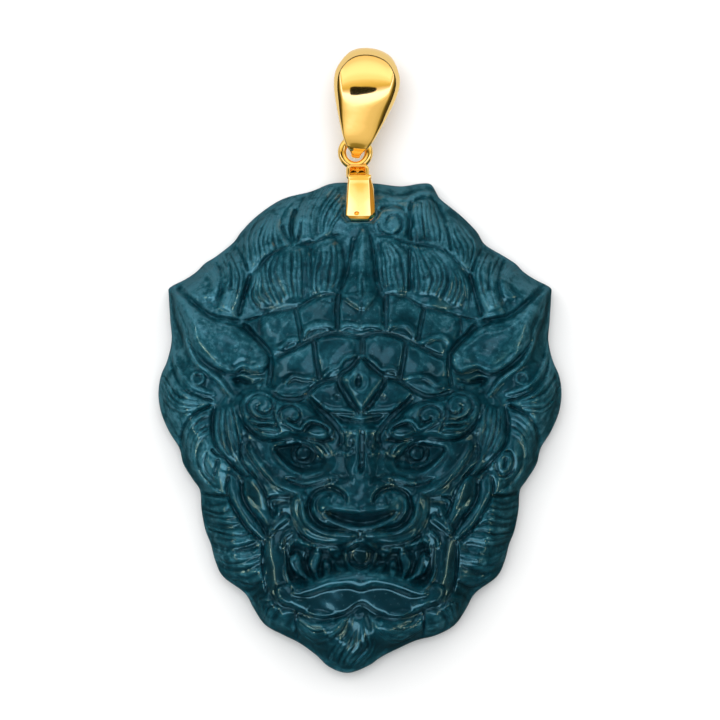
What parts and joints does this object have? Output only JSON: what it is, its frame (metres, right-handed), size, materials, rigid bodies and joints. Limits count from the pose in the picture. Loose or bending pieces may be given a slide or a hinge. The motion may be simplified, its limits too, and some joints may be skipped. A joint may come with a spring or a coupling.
{
  "type": "jade pendant",
  "caption": "Carved jade lion-head pendant with mane and pointed ears, flat back, under a gold clip with a ring and a hollow teardrop bail for a chain.",
  "frame": {"origin": "middle of the whole pendant's box, on the surface that it lies on", "axes": "+Z out of the carved front, +Y towards the bail, +X to the viewer's right"},
  "size_m": [0.0426, 0.0662, 0.0124],
  "materials": {
    "jade": "polished dark teal jade with cloudy mottling and fine cut lines",
    "gold": "mirror-polished yellow gold"
  },
  "bodies": {
    "root": {"jade_head": "jade", "clip": "gold", "bail": "gold"}
  },
  "joints": []
}
